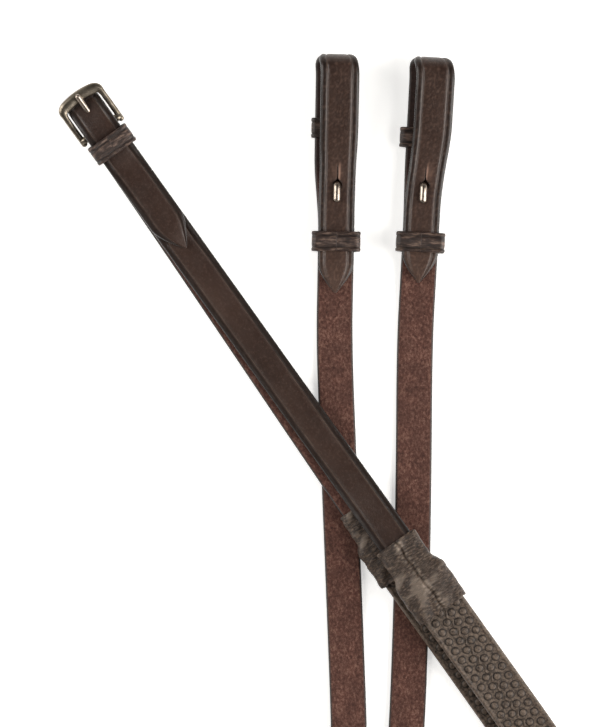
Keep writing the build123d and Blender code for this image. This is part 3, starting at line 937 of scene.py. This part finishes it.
def grip_bead(strip, start):
    """An uneven bead down the middle of a grip's outer face, between the pimples."""
    at = stations(start + 0.5, start + RUBBER_LENGTH - 0.5, 0.8)
    wave = 0.75 * np.sin(at * 2 * math.pi / PIMPLE_PITCH)
    sway = noise_at(at * 0.5, 2.0, 9.0)
    across, up = np.array(BEAD).T
    far = np.repeat(at, len(BEAD)).reshape(len(at), len(BEAD))
    u = (wave + 0.35 * sway)[:, None] + across * (1 + 0.5 * sway)[:, None]
    v = GRIP_FACE + up * (1 + 0.7 * sway)[:, None]
    return *skin(strip.places(far, u, v)), texture_place(far, u, v), np.tile(BEAD_SHADE, len(at))


def rubber_grip(side, strip, start):
    """The moulded sleeve with its staggered pimples on both faces."""
    parts = [grip_sleeve(strip, start), pimples(strip, start, 1.0), pimples(strip, start, -1.0)]
    parts.append(grip_bead(strip, start))
    vertices, faces = joined([part[:2] for part in parts])
    fields = {
        "strap_place": np.concatenate([part[2] for part in parts]),
        "pimple_shade": np.concatenate([part[3] for part in parts]),
    }
    return make(side + "_grip", vertices, faces, RUBBER, fields)


# The rolled edge at both ends of a wrap: millimetres in from its end, and below its outer face.
WRAP_LIP = [(0.9, 1.15), (0.35, 1.1), (0.02, 0.72), (0.0, 0.4), (0.14, 0.12)]
WRAP_AROUND = 176


def wrap(side, which, strip, start, strap_first, seed):
    """A gathered leather sleeve with a puckered seam down its outer face, over the grip's end."""
    stop = start + WRAP_LENGTH
    rubber_edge = start + WRAP_ON_STRAP if strap_first else stop - WRAP_ON_STRAP
    way = 1 if strap_first else -1
    small = rounded_ring(STRAP_WIDTH / 2 + WRAP_SIDE, HALF + WRAP_WALL, 2.2, WRAP_AROUND)
    large = rounded_ring(GRIP_WIDTH / 2 + WRAP_SIDE, GRIP_HALF + WRAP_WALL, 3.4, WRAP_AROUND)
    body = stations(start + 0.5, stop - 0.5, 0.42)
    lip_in, lip_down = np.array(WRAP_LIP).T
    distances = np.concatenate([start + lip_in, body, stop - lip_in[::-1]])
    sunk = np.concatenate([lip_down, np.zeros(len(body)), lip_down[::-1]])[:, None]
    far = np.repeat(distances, WRAP_AROUND).reshape(len(distances), WRAP_AROUND)
    on_rubber = (far - rubber_edge) * way
    share = ease((on_rubber + 3.6) / 6.0)[..., None]
    ring = small * (1 - share) + large * share
    out = ways_out(ring)
    u, v = ring[..., 0], ring[..., 1]
    top = ease((v - 1.0) / 1.2)
    # the leather's own unevenness: ruffled across, sagging, and finely ribbed
    rough = noise_at(far * 0.9 + seed * 31, u * 0.16, v * 0.2)
    broad = noise_at(far * 0.2 + u * 0.12, u * 0.13 + seed * 7, v * 0.15)
    fine = noise_at(far * 2.4 + seed * 17, u * 0.35, 3.0)
    # the seam down the top, which wanders, and its stitches
    seam = u - 1.6 * noise_at(distances * 0.16 + seed, 5.0, 0.0)[:, None]
    drift = noise_at(distances * 0.3 + seed, 1.0, 4.0)[:, None]
    stitch = np.abs(np.sin((far - start + 2.2 * drift) * math.pi / 2.1)) * (0.75 + 0.6 * drift[::-1])
    groove = -0.75 * bump_at(seam, 0, 0.42) * top
    pucker = (0.7 * stitch - 0.15) * bump_at(np.abs(seam), 1.1, 0.85) * top
    gather = 0.5 * rough * (0.3 + 0.7 * np.exp(-np.abs(seam) / 4.5)) + 0.85 * broad
    step = 0.35 * bump_at(on_rubber, 0.2, 1.3) * rough
    belly = 0.25 * bump_at(on_rubber, 8, 6) * top
    lift = groove + pucker + gather + 0.13 * fine + step + belly
    calm = 1 - np.clip(sunk / 0.4, 0, 1)
    lift = lift * (0.25 + 0.75 * calm) - sunk
    # the end on the rubber is cut unevenly, and an upper wrap's seam draws it in
    ragged = 0.5 * noise_at(small[:, 0] * 0.8, small[:, 1] * 0.5, seed * 3.0)
    if strap_first:
        end_pull = ragged * ease((far - stop + 5) / 5)
        end_pull = end_pull - 1.1 * bump_at(seam, 0, 0.8) * top * ease((far - stop + 3) / 3)
    else:
        end_pull = -ragged * ease((start + 5 - far) / 5)
    vertices, faces = skin(strip.places(far + end_pull, u + out[..., 0] * lift, v + out[..., 1] * lift))
    # Painted highlight: lighter on the raised puckers beside the seam and on the high gathers.
    crest_highlight = np.clip(pucker * 1.5, 0, 1) * (0.55 + 0.45 * fine / 0.5) + np.clip(gather - 0.12, 0, 0.3)
    fields = {"strap_place": texture_place(far, u, v), "wrap_crest_highlight": np.clip(crest_highlight, 0, 1).ravel()}
    return make(f"{side}_{which}_wrap_leather", vertices, faces, WRAP, fields)


# ---- keepers and loops ----
BAND_HALF = [  # across the band's length and out of its face: a raised ridge along each edge
    (0.0, -0.1), (1.3, -0.12), (2.0, -0.2), (2.35, -0.42), (2.6, -0.48), (2.85, -0.3), (3.1, 0.0),
    (3.45, 0.14), (3.8, 0.1), (4.1, -0.1), (4.3, -0.42), (4.4, -0.8),
]
BAND_AROUND = 150


def band(name, place, centre, half_width, low, top, wall, tilt=0.0, seed=1, soften=2.2):
    """A leather loop round a strap: outer half width and heights, with ridged edges."""
    outer = rounded_ring(half_width, (top - low) / 2, soften, BAND_AROUND)
    out = ways_out(outer)
    reach = KEEPER_LENGTH / 2
    half = BAND_HALF + [(reach, -wall + 0.5), (reach - 0.2, -wall + 0.1), (reach - 0.8, -wall), (0, -wall)]
    loop = np.array(half + [(-x, z) for x, z in half[-2:0:-1]])
    shape = (BAND_AROUND, len(loop))
    x, lift = (np.broadcast_to(axis, shape) for axis in loop.T)
    turn = np.arange(BAND_AROUND)[:, None]
    lift = lift * (1 - 0.55 * np.abs(out[:, :1]) * (lift > -0.5))
    lift = lift + 0.1 * noise_at(turn * 0.16 + seed * 9, x * 0.9, seed * 2.0) * (lift > -wall + 0.6)
    x = x + 0.14 * noise_at(turn * 0.09, 7.0 + seed, 0.0) * (x / reach)
    y = outer[:, :1] + out[:, :1] * lift
    z = outer[:, 1:] + out[:, 1:] * lift
    cos, sin = math.cos(tilt), math.sin(tilt)
    middle = (low + top) / 2
    rows = np.stack([centre[0] + x * cos + z * sin, y + centre[1], middle + z * cos - x * sin], -1)
    vertices, faces = skin(place.points(rows), closed=True)
    fields = {
        "strap_place": texture_place(np.broadcast_to(turn * 0.45, shape), x, lift + seed * 20),
        "strap_crease": (bump_at(np.abs(x), 2.55, 0.4) * (lift > -1)).ravel(),
    }
    return make(name, vertices, faces, KEEPER, fields)


# ---- metal ----
def bar_line(points, spacing, end=0.0):
    """A smooth line read at a spacing, closer near its ends: distances, points and the way ahead."""
    line = smooth_line(points)
    along = lengths_along(line)
    length = along[-1]
    at = stations(0, length, spacing, [(0, end, 0.12), (length - end, length, 0.12)])
    middle = read_line(line, along, at)
    return at, middle, unit(np.gradient(middle, axis=0))


def dome(at, radius, least):
    """How full a bar with domed ends is at each distance along it."""
    near = np.minimum(at, at[-1] - at)
    return np.sqrt(np.clip(1 - (1 - np.clip(near / radius, 0, 1)) ** 2, least, 1))


def rod(place, points, radius, flat=1.0):
    """The shell of a round bar bent in the upright plane, with domed ends."""
    at, middle, ahead = bar_line([(x, 0, z) for x, z in points], 0.3, radius)
    side = np.array((0.0, 1.0, 0.0))
    up = np.cross(ahead, side)[:, None, :]
    size = (radius * dome(at, radius, 0.004))[:, None, None]
    cos, sin = (turn[None, :, None] for turn in circle(26))
    return skin(place.points(middle[:, None, :] + size * cos * side + size * flat * sin * up))


def tilted(local, tilt):
    """Points of the buckle's own plane (along, left, up) about the heel bar, turned by tilt."""
    cos, sin = math.cos(tilt), math.sin(tilt)
    x, y, z = np.moveaxis(local, -1, 0)
    return np.stack([x * cos + z * sin, y, BAR_HEIGHT + z * cos - x * sin], -1)


def bow_line():
    """The middle line of the frame's side bars and toe bar, in the buckle's own plane."""
    inner = FRAME_WIDTH / 2 - SIDE_BAR
    side = inner + SIDE_BAR / 2
    toe = -FRAME_REACH + TOE_BAR / 2
    half = [
        (2.6, side), (-3, side), (-9, side + 0.05), (-13.4, side), (toe + 0.9, inner + 0.8),
        (toe - 0.1, inner - 3.2), (toe - 0.55, 0),
    ]
    return [(x, y, 0) for x, y in half + [(x, -y) for x, y in half[-2::-1]]]


def frame_bow():
    """Side bars that run into a broad, bowed toe bar."""
    at, middle, ahead = bar_line(bow_line(), 0.28)
    up = np.array((0.0, 0.0, 1.0))
    outward = np.cross(up, ahead)
    if outward[len(at) // 2][0] > 0:
        outward = -outward
    side_bar = 15.0
    wide = (ease((at - side_bar) / 6) * ease((at[-1] - side_bar - at) / 6))[:, None]
    half_wide = SIDE_BAR / 2 + (TOE_BAR - SIDE_BAR) / 2 * wide
    squareness = 0.72
    cos, sin = (np.sign(turn) * np.abs(turn) ** squareness for turn in circle(40))
    full = dome(at, 1.3, 0.01)[:, None]
    side = half_wide * cos * full
    lift = ((1.38 - 0.05 * wide) * sin - 0.35 * wide * cos**2 * (sin > 0)) * full
    rows = middle[:, None, :] + outward[:, None, :] * side[..., None] + up * lift[..., None]
    return skin(AT_BUCKLE.points(tilted(rows, FRAME_TILT)))


def heel_bar():
    """The round bar that the straps and the tongue hang on."""
    reach = FRAME_WIDTH / 2 - 0.6
    cos, sin = circle(28)
    across = np.linspace(-reach, reach, 12)[:, None]
    rows = np.stack(np.broadcast_arrays(BAR_RADIUS * cos, across, BAR_RADIUS * sin), -1)
    return skin(AT_BUCKLE.points(tilted(rows, FRAME_TILT)))


def buckle_frame():
    return make("buckle_frame_metal", *joined([frame_bow(), heel_bar()]), BUCKLE_METAL)


def tongue_eye():
    """The flat ring that holds the tongue on the heel bar."""
    cos, sin = (turn[:, None] for turn in circle(36))
    across, out = rounded_ring(1.45, 0.58, 0.4, 20).T
    radius = BAR_RADIUS + 0.65 + out
    rows = np.stack(np.broadcast_arrays(radius * cos, across, radius * sin), -1)
    return skin(AT_BUCKLE.points(tilted(rows, TONGUE_TILT)), closed=True)


def buckle_tongue():
    """The tongue: its eye round the heel bar, and its rod to the tip on the toe bar."""
    reach = -TONGUE_LENGTH
    flat = [(-1.9, 0), (-6, 0.15), (-12, 0.1), (reach + 2, -0.05), (reach - 1.1, -0.25)]
    points = tilted(np.array([(x, 0, z) for x, z in flat]), TONGUE_TILT)
    shaft = rod(AT_BUCKLE, points[:, ::2], TONGUE_RADIUS)
    return make("buckle_tongue_metal", *joined([shaft, tongue_eye()]), STUD_METAL)


def hook_stud(side):
    """The riveted shank with its hook bent back along the strap."""
    height = FRONT_LAYER + HALF + GAP + STUD_RADIUS + 0.05
    foot = BACK_LAYER - HALF - 0.9
    nose = STUD_PLACE - STUD_REACH
    points = [
        (STUD_PLACE, foot), (STUD_PLACE, foot + 3), (STUD_PLACE + 0.2, height - 0.5),
        (STUD_PLACE - 0.6, height + 0.1), (STUD_PLACE - 3.6, height), (nose - 0.6, height - 0.3),
    ]
    return make(side + "_hook", *rod(AT_BIT[side], points, HOOK_RADIUS, flat=0.9), STUD_METAL)


def stitching():
    """Two rows of stitches, each a short fat turn of thread sunk at both ends."""
    start, count, pitch, long, inset = 25, 7, 3.3, 2.6, 5.6
    cos, sin = circle(10)
    at = np.linspace(-1, 1, 9)[:, None]
    fat = 0.34 * (1 - 0.35 * at**2)
    stitches = []
    for side in (-inset, inset):
        for k in range(count):
            x = start + k * pitch + at * long / 2
            z = STITCHED + HALF + 0.12 - 0.22 * at**4 + 0.55 * fat * sin
            rows = np.stack(np.broadcast_arrays(x, side + fat * cos, z), -1)
            stitches.append(skin(AT_BUCKLE.points(rows)))
    return make("buckle_stitches", *joined(stitches), THREAD)


# ---- putting it together ----
def stand_for(piece, body, node):
    """Lets a piece ride a body and take a CAD node's place."""
    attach(piece, body)
    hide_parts(node)
    return piece


def build_strap(side):
    """The long part of a rein, with its grip and both wraps."""
    strip = rein(side)
    scale = strip.length / ROUTE_LENGTHS[side]
    seed = 1 + (side == "right")
    strap = stand_for(long_strap(side, strip), "reins", side + "_strap_hand_part")
    start = (WRAP_STARTS[side] + WRAP_ON_STRAP - ROUTE_STARTS[side]) * scale
    grip = rubber_grip(side, strip, start)
    stand_for(grip, "reins", side + "_rubber_grip")
    upper = wrap(side, "upper", strip, start - WRAP_ON_STRAP, True, seed)
    lower_start = start + RUBBER_LENGTH - WRAP_LENGTH + WRAP_ON_STRAP
    lower = wrap(side, "lower", strip, lower_start, False, seed + 2)
    stand_for(upper, "reins", side + "_upper_wrap")
    stand_for(lower, "reins", side + "_lower_wrap")
    return strip, strap, [grip, upper, lower]


def build_rein(side):
    strip, strap, carried = build_strap(side)
    stand_for(bit_end(side), "reins", side + "_strap_bit_end")
    place = AT_BIT[side]
    seed = 2 + (side == "right")
    keeper_top = FRONT_LAYER + HALF + KEEPER_OVER + KEEPER_WALL
    keeper = band(
        side + "_keeper", place, (0, 0), KEEPER_HALF_WIDTH, 0.02, keeper_top, KEEPER_WALL,
        seed=seed, soften=2.4,
    )
    stand_for(keeper, "reins", side + "_fixed_keeper")
    runner_top = BACK_LAYER + HALF + GAP + LOOP_FACE
    centre, half_width = RUNNER_SIDES[side]
    runner = band(
        side + "_runner", place, (RUNNERS[side], centre), half_width, 0.2, runner_top, LOOP_WALL,
        seed=seed + 3, soften=1.9,
    )
    stand_for(runner, side + "_loop", side + "_running_loop")
    stand_for(hook_stud(side), "reins", side + "_hook_stud")


def build_buckle():
    stand_for(left_buckle_end(), "reins", "left_strap_buckle_end")
    stand_for(right_buckle_end(), "reins", "right_strap_buckle_end")
    stand_for(buckle_frame(), "frame", "buckle_frame")
    stand_for(buckle_tongue(), "tongue", "buckle_tongue")
    low = BAR_HEIGHT - HALF + 0.6
    top = low + 2 * STRAP_THICKNESS + 4.7
    keeper = band(
        "buckle_keeper_leather", AT_BUCKLE, (BUCKLE_KEEPER_PLACE, 0), BUCKLE_KEEPER_HALF_WIDTH,
        low, top, LOOP_WALL, tilt=BUCKLE_KEEPER_TILT, seed=8, soften=2.6,
    )
    stand_for(keeper, "reins", "buckle_keeper")
    stand_for(stitching(), "reins", "buckle_stitching")


def paint_cad():
    """The pieces of the CAD part that stay, in their own materials."""
    for side in ("left", "right"):
        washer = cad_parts[side + "_stud_washer"]
        washer.data.materials.clear()
        washer.data.materials.append(STUD_METAL)


# ---- floor, light and camera ----
def floor_paint():
    """A pale, slightly self-lit floor, so that shadows on it stay faint."""
    paint = Paint("floor")
    speckle = paint.noise(paint.object_place(), 6, 3)
    colour = paint.ramp(speckle, (0.3, (0.90, 0.90, 0.895)), (0.7, (0.92, 0.92, 0.915)))
    return paint.finish(
        colour, 0.9, Specular_IOR_Level=0.1, Emission_Color=(1, 1, 0.99, 1), Emission_Strength=0.5
    )


def stage():
    size = 6.0
    corners = [(-size, -size, 0), (size, -size, 0), (size, size, 0), (-size, size, 0)]
    floor = make("floor", corners, [(0, 1, 2, 3)], floor_paint())
    floor.location.z = -0.0002


def lamp(name, place, size, watts, colour):
    """A broad lamp aimed at the middle of the plan, at a place from there in metres."""
    light = bpy.data.lights.new(name, "AREA")
    light.shape = "RECTANGLE"
    light.size, light.size_y = size
    light.energy = watts
    light.color = colour
    holder = bpy.data.objects.new(name, light)
    holder.location = PLAN_MIDDLE + Vector(place)
    holder.rotation_mode = "QUATERNION"
    holder.rotation_quaternion = (-Vector(place)).to_track_quat("-Z", "Y")
    bpy.context.collection.objects.link(holder)


def lights():
    """A room that is dark overhead and pale low down, with two broad low lamps."""
    world = bpy.data.worlds.new("studio")
    world.use_nodes = True
    tree = world.node_tree
    way = tree.nodes.new("ShaderNodeTexCoord")
    split = tree.nodes.new("ShaderNodeSeparateXYZ")
    rise = tree.nodes.new("ShaderNodeValToRGB")
    tree.links.new(way.outputs["Generated"], split.inputs[0])
    tree.links.new(split.outputs["Z"], rise.inputs["Fac"])
    low, high = rise.color_ramp.elements
    low.position, high.position = 0.3, 0.78
    low.color = (0.64, 0.62, 0.59, 1)
    high.color = (0.10, 0.096, 0.09, 1)
    tree.links.new(rise.outputs["Color"], tree.nodes["Background"].inputs["Color"])
    bpy.context.scene.world = world
    lamp("key", (1.15, -0.3, 0.72), (0.8, 1.5), 29, (1, 0.975, 0.94))
    lamp("fill", (-1.15, 0.25, 0.75), (0.7, 1.4), 17.5, (1, 0.98, 0.95))


def camera():
    """Straight above the crossing straps, as far off as a studio camera with a long lens."""
    distance = 1.3
    lens = bpy.data.cameras.new("camera")
    lens.sensor_width = 36
    lens.lens = 36 * distance / (VIEW_LENGTH * MM)
    lens.clip_start, lens.clip_end = 0.05, 20
    holder = bpy.data.objects.new("camera", lens)
    holder.location = PLAN_MIDDLE + Vector((0, 0, distance))
    bpy.context.collection.objects.link(holder)
    bpy.context.scene.camera = holder


build_rein("left")
build_rein("right")
build_buckle()
paint_cad()
stage()
lights()
camera()
bpy.context.scene.view_settings.view_transform = "Standard"
